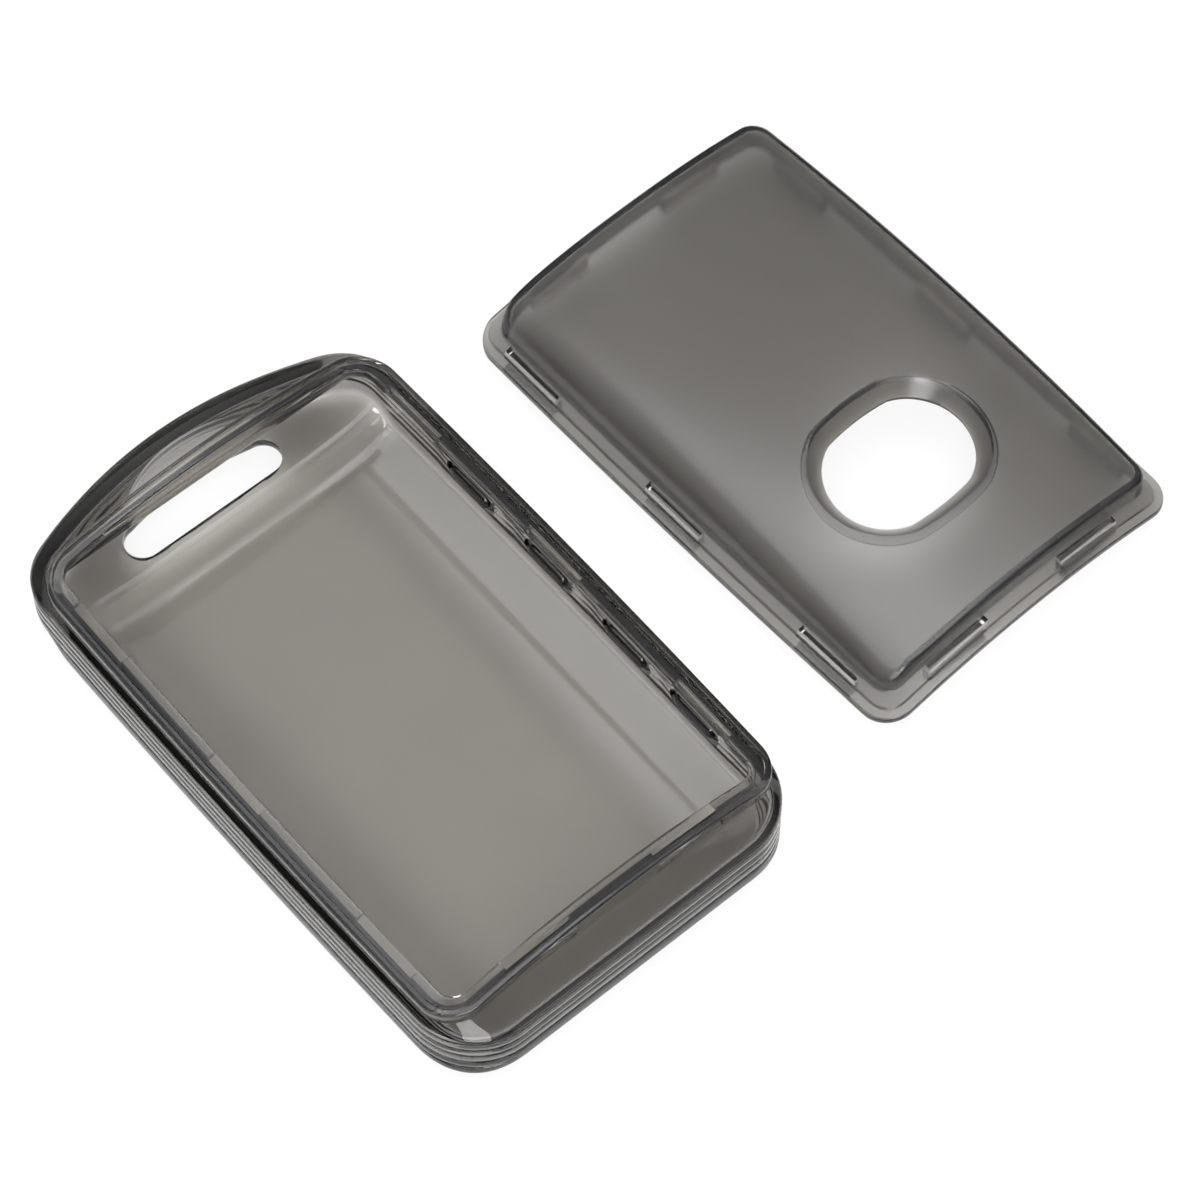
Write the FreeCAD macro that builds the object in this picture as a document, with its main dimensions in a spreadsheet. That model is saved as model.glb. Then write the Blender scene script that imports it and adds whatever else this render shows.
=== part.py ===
import FreeCAD, Part
import Sketcher
import math
import os

# A two-piece snap cover for a slab-shaped remote key, in smoky clear plastic.
# The tray lies open side up with its base centre at the origin, the key-ring ear towards +Y.
# The lid lies beside it on the same table, outer side up.

# Driving sizes in millimetres, and degrees for the lid's turn on the table.
SIZES = {
    # Girth of the tray and its key-ring ear
    "body_width": "50.6",
    "body_near": "43.6",
    "near_corner": "8.4",
    "ear_reach": "42.4",
    "ear_radius": "54",
    "ear_corner": "8",
    "wall": "2.3",
    "base_floor": "1.4",
    "girth_height": "10.4",
    "shoulder_height": "2",
    "shoulder_tuck": "0.4",
    # Arched rim and the opening inside it
    "rim_crown": "16.6",
    "arch_rise": "3.29",
    "rim_depth": "1.8",
    "rim_overhang": "0.4",
    "lip_wall": "1.5",
    "rim_set_side": "3.3",
    "rim_set_near": "6.1",
    "rim_set_far": "10.8",
    "opening_corner": "2.2",
    "ledge": "1.8",
    "bead": "0.9",
    "rebate_depth": "0.7",
    # Crowned belly under the tray
    "belly_flat": "26",
    "belly_radius": "27.3",
    "toe_run": "8.6",
    "toe_radius": "14.2",
    "ramp_set": "15.4",
    "ramp_run": "5.5",
    "ramp_rise": "2.2",
    "heel_run": "3.8",
    "heel_radius": "4.95",
    # Key-ring ear: its sloping roof, the mouth in it and the slot in the floor
    "roof_near": "12.2",
    "roof_far": "9.3",
    "mouth_half": "11",
    "mouth_gap": "0.1",
    "mouth_width": "4.9",
    "ring_slot_half": "8.7",
    "ring_slot_set": "10",
    "ring_slot_width": "4.6",
    "ring_slot_bow": "37",
    "ring_slot_ease": "0.2",
    # Ribs round the girth
    "rib_count": "5",
    "rib_pitch": "1.45",
    "rib_first": "3.7",
    "rib_groove": "0.5",
    "rib_depth": "0.35",
    # Press pads in the long wall
    "pad_length": "8",
    "pad_height": "3.4",
    "pad_corner": "1.5",
    "pad_level": "8",
    "pad_gap": "0.2",
    "pad_set_in": "0.5",
    "nub_length": "6.4",
    "nub_height": "2",
    "nub_corner": "0.9",
    "nub_depth": "0.6",
    "scoop_margin": "2",
    "scoop_depth": "0.4",
    "pad_1_at": "13.6",
    "pad_2_at": "-0.2",
    "pad_3_at": "-14",
    "pad_4_at": "-25.8",
    # Lid
    "lid_play": "0.15",
    "flange_thick": "1.2",
    "dome_set": "0.5",
    "dome_step": "3.5",
    "dome_panel": "35.2",
    "dome_thick": "1.3",
    "window_at": "-16.3",
    "window_straight": "4.6",
    "window_half": "6.95",
    "window_side_radius": "7.38",
    "window_bow_radius": "30",
    "bevel_width": "1.6",
    "bevel_depth": "1.2",
    "relief_width": "1",
    "relief_length": "9.2",
    # Snap hooks under the lid and the notches that hold them
    "hook_length": "8.6",
    "hook_leg": "0.9",
    "hook_root": "1.1",
    "hook_drop": "2.4",
    "hook_gap": "0.2",
    "barb_reach": "0.55",
    "barb_height": "0.9",
    "notch_room": "0.3",
    "notch_roof": "0.55",
    "hook_ring_set": "8.3",
    "hook_mid_at": "-1.6",
    "hook_near_set": "10",
    "hook_end_at": "10.5",
    # Where the lid lies on the table
    "lid_gap": "13.3",
    "lid_y": "-2.6",
    "lid_turn": "1.5",
    # Room that cutting shapes reach past what they cut
    "past": "1.5",
}

# Places worked out from the driving sizes, as sheet formulas.
PLACES = {}

UPRIGHT = FreeCAD.Vector(0, 0, 1)


def place(name, formula):
    PLACES[name] = "=" + formula


def rounded_places(name, half, near, far, corner):
    """Corner places of a rounded rectangle that is symmetric about the Y axis."""
    place(name + "_x", half)
    place(name + "_xi", f"({half}) - ({corner})")
    place(name + "_near", f"-({near})")
    place(name + "_near_in", f"-({near}) + ({corner})")
    place(name + "_far", far)
    place(name + "_far_in", f"({far}) - ({corner})")
    place(name + "_round", corner)


def eared_places(name, inset, near=None, corner=None):
    """Places of the girth outline with its ear, set in evenly unless its near end is given."""
    half = f"(dims.body_width / 2 - ({inset}))"
    near = f"({near})" if near else f"(dims.body_near - ({inset}))"
    corner = f"({corner})" if corner else f"(dims.near_corner - ({inset}))"
    big = f"(dims.ear_radius - ({inset}))"
    small = f"(dims.ear_corner - ({inset}))"
    centre = "(dims.ear_reach - dims.ear_radius)"
    rise = f"sqrt(({big} - {small}) ^ 2 - ({half} - {small}) ^ 2)"
    place(name + "_x", half)
    place(name + "_xi", f"{half} - {corner}")
    place(name + "_near", f"-{near}")
    place(name + "_near_in", f"-{near} + {corner}")
    place(name + "_round", corner)
    place(name + "_side_end", f"{centre} + {rise}")
    place(name + "_tan_x", f"{big} * ({half} - {small}) / ({big} - {small})")
    place(name + "_tan_y", f"{centre} + {big} * {rise} / ({big} - {small})")
    place(name + "_ear", big)
    place(name + "_ear_corner", small)


def arch_places(name, radius):
    """Ends of an arched line across the part, on the arch's own centre."""
    place(name + "_arc", radius)
    place(name + "_end", f"arch_centre + sqrt(({radius}) ^ 2 - reach_x ^ 2)")


def belly_places(name, lift, top):
    """Places of the two belly profiles, raised by the floor's thickness for the inside."""
    place(name + "_flat", f"{lift}")
    place(name + "_side", f"{lift} + dims.belly_radius - sqrt(dims.belly_radius ^ 2 - "
                          "(reach_x - dims.belly_flat / 2) ^ 2)")
    place(name + "_toe", f"{lift} + dims.toe_radius - sqrt(dims.toe_radius ^ 2 - "
                         "(dims.toe_run + dims.past / 2) ^ 2)")
    place(name + "_ramp_mid", f"{lift} + dims.ramp_rise / 2")
    place(name + "_ramp_top", f"{lift} + dims.ramp_rise")
    place(name + "_heel", f"{lift} + dims.ramp_rise + dims.heel_radius - sqrt(dims.heel_radius ^ 2 - "
                          "(dims.heel_run + dims.past / 2) ^ 2)")
    place(name + "_top", top)


def work_out_places():
    half_open = "(dims.body_width / 2 - dims.rim_set_side)"
    open_near = "(dims.body_near - dims.rim_set_near)"
    open_far = "(dims.ear_reach - dims.rim_set_far)"
    place("reach_x", "dims.body_width / 2 + dims.past / 2")
    place("reach_near", "dims.body_near + dims.past / 2")
    place("reach_far", "dims.ear_reach + dims.past / 2")
    place("through", "2 * (dims.body_near + dims.ear_reach)")
    rim_side = f"{half_open} + dims.ledge + dims.bead"
    place("arch_radius", f"(({rim_side}) ^ 2 + dims.arch_rise ^ 2) / (2 * dims.arch_rise)")
    place("arch_centre", "dims.rim_crown - arch_radius")
    place("above", "dims.rim_crown + dims.dome_step + dims.flange_thick + dims.past")

    # Tray outlines
    eared_places("girth", "0")
    eared_places("rib_floor", "dims.rib_depth")
    eared_places("rib_past", "-dims.past")
    eared_places("cavity", "dims.wall")
    rim_near = f"{open_near} + dims.ledge + dims.bead"
    rim_far = f"{open_far} + dims.ledge + dims.bead"
    rim_corner = "dims.opening_corner + dims.ledge + dims.bead"
    rounded_places("rim", rim_side, rim_near, rim_far, rim_corner)
    in_neck = " - dims.rim_overhang"
    in_lip = in_neck + " - dims.lip_wall"
    rounded_places("neck", rim_side + in_neck, rim_near + in_neck, rim_far + in_neck, rim_corner + in_neck)
    rounded_places("lip", rim_side + in_lip, rim_near + in_lip, rim_far + in_lip, rim_corner + in_lip)
    in_brow = in_neck + " - dims.shoulder_tuck"
    eared_places("brow", f"dims.body_width / 2 - ({rim_side + in_brow})", rim_near + in_brow,
                 rim_corner + in_brow)
    rounded_places("rebate", f"{half_open} + dims.ledge", f"{open_near} + dims.ledge",
                   f"{open_far} + dims.ledge", "dims.opening_corner + dims.ledge")
    rounded_places("gap", half_open, open_near, open_far, "dims.opening_corner")
    rounded_places("hollow", "dims.body_width / 2 - dims.wall", "dims.body_near - dims.wall",
                   rim_far + in_lip, "dims.near_corner - dims.wall")

    # Heights in the tray
    place("neck_height", "dims.girth_height + dims.shoulder_height")
    place("hollow_height", "dims.girth_height - dims.base_floor")
    place("lip_height", "hollow_height + dims.shoulder_height")
    arch_places("crown", "arch_radius")
    arch_places("band", "arch_radius - dims.rim_depth")
    arch_places("ledge", "arch_radius - dims.rebate_depth")
    belly_places("hull", "0", "above")
    belly_places("pocket", "dims.base_floor", "above")
    place("belly_half", "dims.belly_flat / 2")
    place("toe_start", "dims.body_near - dims.toe_run")
    place("heel_start", "dims.ear_reach - dims.heel_run")
    place("ramp_start", "dims.ear_reach - dims.ramp_set")
    place("ramp_mid_at", "ramp_start + dims.ramp_run / 2")
    place("ramp_end", "ramp_start + dims.ramp_run")
    place("ramp_radius", "(dims.ramp_run ^ 2 + dims.ramp_rise ^ 2) / (4 * dims.ramp_rise)")

    # Ring slot and the mouth of the ear
    place("mouth_near", f"{rim_far} + dims.mouth_gap")
    place("mouth_radius", "(dims.mouth_half ^ 2 + dims.mouth_width ^ 2) / (2 * dims.mouth_width)")
    place("ring_slot_near", "dims.ear_reach - dims.ring_slot_set")
    place("ring_slot_far", "ring_slot_near + dims.ring_slot_width")
    place("ring_slot_end", "dims.ring_slot_width / 2 + dims.ring_slot_ease")
    place("ring_slot_deep", "dims.ramp_rise + dims.base_floor + dims.past")

    # Press pads
    pad_half = "dims.pad_length / 2"
    pad_tall = "dims.pad_height / 2"
    rounded_places("pad", pad_half, pad_tall, pad_tall, "dims.pad_corner")
    nub_tall = "dims.nub_height / 2"
    rounded_places("nub", "dims.nub_length / 2", nub_tall, nub_tall, "dims.nub_corner")
    rounded_places("pad_hole", f"{pad_half} + dims.pad_gap", f"{pad_tall} + dims.pad_gap",
                   f"{pad_tall} + dims.pad_gap", "dims.pad_corner + dims.pad_gap")
    rounded_places("scoop", f"{pad_half} + dims.scoop_margin", f"{pad_tall} + dims.scoop_margin / 2",
                   f"{pad_tall} + dims.scoop_margin / 2", "dims.pad_corner")
    place("pad_face", "dims.body_width / 2 - dims.pad_set_in")
    place("pad_back", "dims.body_width / 2 - dims.wall + dims.pad_gap")
    place("pad_thick", "pad_face - pad_back")
    place("nub_face", "pad_back - dims.nub_depth")
    place("scoop_face", "dims.body_width / 2 - dims.scoop_depth")

    # Lid outlines and arched profiles, worked out where the lid sits when it is closed
    rounded_places("flange", f"{half_open} + dims.ledge - dims.lid_play",
                   f"{open_near} + dims.ledge - dims.lid_play",
                   f"{open_far} + dims.ledge - dims.lid_play",
                   "dims.opening_corner + dims.ledge - dims.lid_play")
    dome_in = "dims.lid_play - dims.dome_set"
    dome_side = f"{half_open} - {dome_in}"
    dome_near = f"{open_near} - {dome_in}"
    dome_far = f"{open_far} - {dome_in}"
    dome_corner = "dims.opening_corner - dims.lid_play"
    rounded_places("dome", dome_side, dome_near, dome_far, dome_corner)
    rounded_places("dome_in", dome_side, dome_near + " - dims.dome_thick", dome_far + " - dims.dome_thick",
                   dome_corner)
    arch_places("flange_top", "ledge_arc + dims.flange_thick")
    place("panel_arc", "flange_top_arc + dims.dome_step")
    place("panel_half", "dims.dome_panel / 2")
    place("panel_edge", "arch_centre + sqrt(panel_arc ^ 2 - panel_half ^ 2)")
    place("dome_foot", "arch_centre + sqrt(flange_top_arc ^ 2 - dome_x ^ 2)")
    place("lean_x", "panel_half / panel_arc")
    place("lean_z", "sqrt(1 - lean_x ^ 2)")
    place("run_x", "dome_x - panel_half")
    place("run_z", "dome_foot - panel_edge")
    place("cheek_arc", "(run_x ^ 2 + run_z ^ 2) / (-2 * (run_x * lean_x + run_z * lean_z))")
    place("cheek_x", "panel_half - cheek_arc * lean_x")
    place("cheek_z", "panel_edge - cheek_arc * lean_z")
    place("panel_in_arc", "panel_arc - dims.dome_thick")
    place("panel_in_half", "panel_half - dims.dome_thick * lean_x")
    place("panel_in_edge", "panel_edge - dims.dome_thick * lean_z")
    place("cheek_in_arc", "cheek_arc - dims.dome_thick")
    place("dome_in_foot_x", "dome_x + dims.dome_thick * (cheek_x - dome_x) / cheek_arc")
    place("dome_in_foot_z", "dome_foot + dims.dome_thick * (cheek_z - dome_foot) / cheek_arc")
    place("lid_low", "dims.girth_height")
    place("flange_side", "arch_centre + sqrt(ledge_arc ^ 2 - gap_x ^ 2)")

    # Window through the lid: the clear hole and the wider edge of its bevel
    place("window_top", "dims.rim_crown - dims.rebate_depth + dims.flange_thick + dims.dome_step")
    place("window_low", "window_top - dims.bevel_depth")
    place("window_over", "window_top + dims.past")
    for side in ("hole", "rim_of_hole"):
        spread = "0" if side == "hole" else "dims.bevel_width * (1 + dims.past / dims.bevel_depth)"
        place(side + "_x", "dims.window_straight")
        place(side + "_far", f"dims.window_at + dims.window_half + {spread}")
        place(side + "_near", f"dims.window_at - dims.window_half - {spread}")
        place(side + "_side", f"dims.window_side_radius + {spread}")
        place(side + "_bow", f"dims.window_bow_radius + {spread}")

    # Snap hooks
    place("hook_zero", "0")
    place("hook_low", "-dims.hook_drop")
    place("barb_mid", "-dims.hook_drop + dims.barb_height / 2")
    place("barb_top", "-dims.hook_drop + dims.barb_height")
    place("hook_face_x", f"{half_open} - dims.hook_gap")
    place("hook_face_near", f"{open_near} - dims.hook_gap")
    place("hook_face_far", f"{open_far} - dims.hook_gap")
    place("hook_ring_at", f"{open_far} - dims.hook_ring_set")
    place("hook_near_at", f"dims.hook_near_set - {open_near}")
    place("hook_end_out", "dims.hook_end_at + dims.hook_length / 2")
    place("hook_end_level", "arch_centre + sqrt(ledge_arc ^ 2 - hook_end_out ^ 2)")
    place("notch_low", "-dims.hook_drop - dims.notch_room")
    place("notch_tall", "dims.hook_drop + dims.notch_room - dims.notch_roof")
    place("notch_deep", "dims.hook_gap + dims.barb_reach + 2 * dims.notch_room")
    place("notch_long", "dims.hook_length + 2 * dims.notch_room")
    place("relief_set", "dims.hook_gap - dims.lid_play - dims.dome_set")
    place("relief_low", "-dims.past")
    place("relief_tall", "dims.flange_thick + 2 * dims.past")

    # The lid on the table: its middle at the stated place, its hook tips at the tray's own level
    place("lid_mid", "(flange_far + flange_near) / 2")
    place("lid_at_x", "dims.body_width / 2 + dims.lid_gap + flange_x + lid_mid * sin(dims.lid_turn)")
    place("lid_at_y", "dims.lid_y - lid_mid * cos(dims.lid_turn)")
    place("lid_at_z", "dims.hook_drop - flange_side")


def ref(name):
    """Sheet expression of a named value, which may carry a minus sign."""
    sign = "-" if name.startswith("-") else ""
    bare = name.lstrip("-")
    sheet = "dims" if bare in SIZES else "places"
    return f"{sign}{sheet}.{bare}"


def number(doc, name):
    """Present value of a named value, which may carry a minus sign."""
    bare = name.lstrip("-")
    sheet = doc.getObject("dims" if bare in SIZES else "places")
    value = float(sheet.get(bare))
    return -value if name.startswith("-") else value


def fill_sheet(doc, name, cells):
    sheet = doc.addObject("Spreadsheet::Sheet", name)
    for row, (alias, content) in enumerate(cells.items(), start=1):
        sheet.set(f"A{row}", alias)
        sheet.set(f"B{row}", content)
        sheet.setAlias(f"B{row}", alias)
    doc.recompute()


def arc_between(start, end, radius, turn):
    """Arc of under half a circle; turn is 1 to bend left along the way and -1 to bend right."""
    middle = (start + end) * 0.5
    along = end - start
    offset = math.sqrt(max(radius ** 2 - (along.Length / 2) ** 2, 0))
    across = FreeCAD.Vector(-along.y, along.x, 0).normalize() * turn
    centre = middle + across * offset
    first, last = (start, end) if turn > 0 else (end, start)
    first_angle = math.atan2(first.y - centre.y, first.x - centre.x)
    last_angle = math.atan2(last.y - centre.y, last.x - centre.x)
    circle = Part.Circle(centre, UPRIGHT, radius)
    return Part.ArcOfCircle(circle, first_angle, last_angle)


def bind(sketch, kind, *where, name, doc):
    """Adds a dimension whose value comes from the sheet."""
    index = sketch.addConstraint(Sketcher.Constraint(kind, *where, number(doc, name)))
    sketch.setExpression(f"Constraints[{index}]", ref(name))


def draw(doc, sketch, outline):
    """Closed outline; each point is (x, y, bend), bend being how the line gets there."""
    points = [FreeCAD.Vector(number(doc, x), number(doc, y), 0) for x, y, bend in outline]
    ends = []
    for index, (x, y, bend) in enumerate(outline):
        start, end = points[index - 1], points[index]
        if bend is None:
            edge = sketch.addGeometry(Part.LineSegment(start, end), False)
            ends.append((edge, 1, 2))
            continue
        radius, turn = bend
        edge = sketch.addGeometry(arc_between(start, end, number(doc, radius), turn), False)
        ends.append((edge, 1, 2) if turn > 0 else (edge, 2, 1))
        bind(sketch, "Radius", edge, name=radius, doc=doc)
    for index, (edge, first, last) in enumerate(ends):
        following, follow_first, follow_last = ends[(index + 1) % len(ends)]
        sketch.addConstraint(Sketcher.Constraint("Coincident", edge, last, following, follow_first))
        bind(sketch, "DistanceX", -1, 1, edge, last, name=outline[index][0], doc=doc)
        bind(sketch, "DistanceY", -1, 1, edge, last, name=outline[index][1], doc=doc)


def rounded(name):
    """Outline of a rounded rectangle from its named places."""
    corner = (name + "_round", 1)
    x, xi = name + "_x", name + "_xi"
    near, near_in = name + "_near", name + "_near_in"
    far, far_in = name + "_far", name + "_far_in"
    return [
        ("-" + xi, near, corner), (xi, near, None),
        (x, near_in, corner), (x, far_in, None),
        (xi, far, corner), ("-" + xi, far, None),
        ("-" + x, far_in, corner), ("-" + x, near_in, None),
    ]


def eared(name):
    """Outline of the girth with its bowed ear from its named places."""
    corner = (name + "_round", 1)
    ear_corner = (name + "_ear_corner", 1)
    x, xi = name + "_x", name + "_xi"
    near, near_in = name + "_near", name + "_near_in"
    return [
        ("-" + xi, near, corner), (xi, near, None),
        (x, near_in, corner), (x, name + "_side_end", None),
        (name + "_tan_x", name + "_tan_y", ear_corner),
        ("-" + name + "_tan_x", name + "_tan_y", (name + "_ear", 1)),
        ("-" + x, name + "_side_end", ear_corner), ("-" + x, near_in, None),
    ]


def belly_across(name):
    """Cross-section: flat middle, curved cheeks, open to above the rim."""
    side, top = name + "_side", name + "_top"
    bend = ("belly_radius", 1)
    return [
        ("-reach_x", top, None), ("-reach_x", side, None),
        ("-belly_half", name + "_flat", bend), ("belly_half", name + "_flat", None),
        ("reach_x", side, bend), ("reach_x", top, None),
    ]


def belly_along(name):
    """Long section: rounded toe, flat middle, ramp up to the ear and its rounded heel."""
    flat, ramp, top = name + "_flat", name + "_ramp_top", name + "_top"
    return [
        ("-reach_near", top, None), ("-reach_near", name + "_toe", None),
        ("-toe_start", flat, ("toe_radius", 1)), ("ramp_start", flat, None),
        ("ramp_mid_at", name + "_ramp_mid", ("ramp_radius", 1)),
        ("ramp_end", ramp, ("ramp_radius", -1)), ("heel_start", ramp, None),
        ("reach_far", name + "_heel", ("heel_radius", 1)), ("reach_far", top, None),
    ]


def arch_slab(low, high):
    """Arched layer across the part between two arcs of one centre."""
    return [
        ("-reach_x", low + "_end", None), ("reach_x", low + "_end", (low + "_arc", -1)),
        ("reach_x", high + "_end", None), ("-reach_x", high + "_end", (high + "_arc", 1)),
    ]


def above_arch(low):
    """Everything above an arched line."""
    return [
        ("-reach_x", low + "_end", None), ("reach_x", low + "_end", (low + "_arc", -1)),
        ("reach_x", "above", None), ("-reach_x", "above", None),
    ]


def oval(name):
    """Window outline: bowed long sides and rounder ends."""
    x, near, far = name + "_x", name + "_near", name + "_far"
    return [
        ("-" + x, near, (name + "_side", 1)), (x, near, (name + "_bow", 1)),
        (x, far, (name + "_side", 1)), ("-" + x, far, (name + "_bow", 1)),
    ]


def new_sketch(doc, body, name, plane, outlines, level=None):
    """Sketch on one of the body's own planes, lifted along its normal by a named value."""
    sketch = body.newObject("Sketcher::SketchObject", name)
    support = [feature for feature in body.Origin.OriginFeatures if feature.Role == plane][0]
    sketch.AttachmentSupport = [(support, "")]
    sketch.MapMode = "FlatFace"
    if level:
        sketch.setExpression("AttachmentOffset.Base.z", ref(level))
    for outline in outlines:
        draw(doc, sketch, outline)
    doc.recompute()
    return sketch


def padded(doc, name, plane, outlines, length, level=None, both_ways=False):
    """Body with one outline padded by a named length."""
    body = doc.addObject("PartDesign::Body", name)
    sketch = new_sketch(doc, body, name + "_outline", plane, outlines, level)
    pad = body.newObject("PartDesign::Pad", name + "_pad")
    pad.Profile = sketch
    pad.SideType = "Symmetric" if both_ways else "One side"
    pad.setExpression("Length", ref(length))
    doc.recompute()
    return body


def lofted(doc, name, first, first_level, second, second_level):
    """Body lofted between two outlines at two named heights."""
    body = doc.addObject("PartDesign::Body", name)
    low = new_sketch(doc, body, name + "_low", "XY_Plane", [first], first_level)
    high = new_sketch(doc, body, name + "_high", "XY_Plane", [second], second_level)
    loft = body.newObject("PartDesign::AdditiveLoft", name + "_loft")
    loft.Profile = low
    loft.Sections = [high]
    loft.Ruled = True
    doc.recompute()
    return body


def joined(doc, kind, name, shapes):
    """Fuse or common of several shapes."""
    item = doc.addObject(kind, name)
    item.Shapes = shapes
    doc.recompute()
    return item


def cut(doc, name, base, tool):
    """Base less tool, which has to take something away."""
    item = doc.addObject("Part::Cut", name)
    item.Base = base
    item.Tool = tool
    doc.recompute()
    if item.Shape.Volume >= base.Shape.Volume:
        raise RuntimeError(name + " cuts nothing")
    return item


def stand(item, x, y, z, angle=0):
    """Places an item at named values, turned about the upright axis."""
    item.Placement = FreeCAD.Placement(FreeCAD.Vector(), FreeCAD.Rotation(UPRIGHT, angle))
    for axis, name in zip("xyz", (x, y, z)):
        if name:
            item.setExpression("Placement.Base." + axis, ref(name))


# Each hook: its name, its place along the part, the wall face it stands at, level and turn.
HOOKS = [
    ("right_ring", "hook_face_x", "hook_ring_at", "flange_side", 0),
    ("right_mid", "hook_face_x", "hook_mid_at", "flange_side", 0),
    ("right_near", "hook_face_x", "hook_near_at", "flange_side", 0),
    ("left_ring", "-hook_face_x", "hook_ring_at", "flange_side", 180),
    ("left_mid", "-hook_face_x", "hook_mid_at", "flange_side", 180),
    ("left_near", "-hook_face_x", "hook_near_at", "flange_side", 180),
    ("ring_right", "hook_end_at", "hook_face_far", "hook_end_level", 90),
    ("ring_left", "-hook_end_at", "hook_face_far", "hook_end_level", 90),
    ("near_right", "hook_end_at", "-hook_face_near", "hook_end_level", -90),
    ("near_left", "-hook_end_at", "-hook_face_near", "hook_end_level", -90),
]


def hook_profile():
    """Leg with an outward barb, from inside the flange down to its tip."""
    return [
        ("-hook_leg", "hook_root", None), ("-hook_leg", "hook_low", None),
        ("hook_zero", "hook_low", None), ("barb_reach", "barb_mid", None),
        ("barb_reach", "barb_top", None), ("hook_zero", "barb_top", None),
        ("hook_zero", "hook_root", None),
    ]


def snap_hooks(doc):
    hooks = []
    for name, x, y, z, angle in HOOKS:
        hook = padded(doc, "hook_" + name, "XZ_Plane", [hook_profile()], "hook_length", both_ways=True)
        stand(hook, x, y, z, angle)
        hooks.append(hook)
    return hooks


def hook_block(doc, name, hook, sizes):
    """Upright block at a hook's wall face, turned to that wall, from five named sizes."""
    hook_name, x, y, z, angle = hook
    start, deep, long, low, tall = sizes
    block = doc.addObject("Part::Box", name + hook_name)
    block.setExpression("Length", ref(deep))
    block.setExpression("Width", ref(long))
    block.setExpression("Height", ref(tall))
    cosine = round(math.cos(math.radians(angle)))
    sine = round(math.sin(math.radians(angle)))
    side = f"{ref(long)} / 2"
    block.Placement = FreeCAD.Placement(FreeCAD.Vector(), FreeCAD.Rotation(UPRIGHT, angle))
    block.setExpression("Placement.Base.x", f"{ref(x)} + {ref(start)} * {cosine} + {side} * {sine}")
    block.setExpression("Placement.Base.y", f"{ref(y)} + {ref(start)} * {sine} - {side} * {cosine}")
    block.setExpression("Placement.Base.z", f"{ref(z)} + {ref(low)}")
    doc.recompute()
    return block


def tray_outside(doc):
    """Ribbed girth, sloping shoulder, ear roof, neck and arched rim band as one block."""
    stack = joined(doc, "Part::MultiFuse", "tray_stack", [
        padded(doc, "girth", "XY_Plane", [eared("girth")], "girth_height"),
        lofted(doc, "shoulder", eared("girth"), "girth_height", eared("brow"), "neck_height"),
        padded(doc, "neck", "XY_Plane", [rounded("neck")], "above"),
    ])
    roofed = cut(doc, "tray_roofed", stack, padded(doc, "above_ear", "YZ_Plane", [[
        ("neck_far", "roof_near", None), ("reach_far", "roof_far", None),
        ("reach_far", "above", None), ("neck_far", "above", None),
    ]], "through", both_ways=True))
    trimmed = joined(doc, "Part::MultiCommon", "tray_trimmed", [
        roofed,
        padded(doc, "belly_across", "XZ_Plane", [belly_across("hull")], "through", both_ways=True),
        padded(doc, "belly_along", "YZ_Plane", [belly_along("hull")], "through", both_ways=True),
    ])
    capped = cut(doc, "tray_capped", trimmed,
                 padded(doc, "above_rim", "XZ_Plane", [above_arch("crown")], "through", both_ways=True))
    band = joined(doc, "Part::MultiCommon", "rim_band", [
        padded(doc, "rim_block", "XY_Plane", [rounded("rim")], "above"),
        padded(doc, "rim_layer", "XZ_Plane", [arch_slab("band", "crown")], "through", both_ways=True),
    ])
    return joined(doc, "Part::MultiFuse", "tray_outside", [capped, band])


def tray_hollow(doc):
    """Pocket for the key: runs on under the ear, rises under the thin lip, opens through it."""
    room = joined(doc, "Part::MultiFuse", "hollow_room", [
        padded(doc, "hollow", "XY_Plane", [eared("cavity")], "hollow_height"),
        lofted(doc, "hollow_shoulder", rounded("hollow"), "hollow_height", rounded("lip"), "lip_height"),
        padded(doc, "hollow_neck", "XY_Plane", [rounded("lip")], "above", level="lip_height"),
    ])
    under_lip = cut(doc, "hollow_under_lip", room,
                    padded(doc, "above_band", "XZ_Plane", [above_arch("band")], "through", both_ways=True))
    space = joined(doc, "Part::MultiFuse", "hollow_stack", [
        under_lip,
        padded(doc, "opening", "XY_Plane", [rounded("gap")], "above"),
    ])
    return joined(doc, "Part::MultiCommon", "tray_hollow", [
        space,
        padded(doc, "pocket_across", "XZ_Plane", [belly_across("pocket")], "through", both_ways=True),
        padded(doc, "pocket_along", "YZ_Plane", [belly_along("pocket")], "through", both_ways=True),
    ])


def rib_grooves(doc):
    """Fine grooves round the girth, patterned upwards."""
    ring = padded(doc, "rib_ring", "XY_Plane", [eared("rib_past"), eared("rib_floor")], "rib_groove",
                  level="rib_first")
    pattern = ring.newObject("PartDesign::LinearPattern", "rib_rows")
    pattern.Originals = [ring.Group[1]]
    axis = [feature for feature in ring.Origin.OriginFeatures if feature.Role == "Z_Axis"][0]
    pattern.Direction = (axis, [""])
    pattern.Mode = "Spacing"
    pattern.setExpression("Offset", ref("rib_pitch"))
    pattern.setExpression("Occurrences", ref("rib_count"))
    ring.Tip = pattern
    doc.recompute()
    return ring


PADS = ["pad_1_at", "pad_2_at", "pad_3_at", "pad_4_at"]


def pad_cutters(doc):
    """Holes for the press pads and the smooth scoop round each."""
    tools = []
    for index, at in enumerate(PADS, start=1):
        hole = padded(doc, f"pad_{index}_hole", "YZ_Plane", [rounded("pad_hole")], "body_width")
        stand(hole, None, at, "pad_level")
        scoop = padded(doc, f"pad_{index}_scoop", "YZ_Plane", [rounded("scoop")], "body_width",
                       level="scoop_face")
        stand(scoop, None, at, "pad_level")
        tools.extend([hole, scoop])
    return tools


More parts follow.
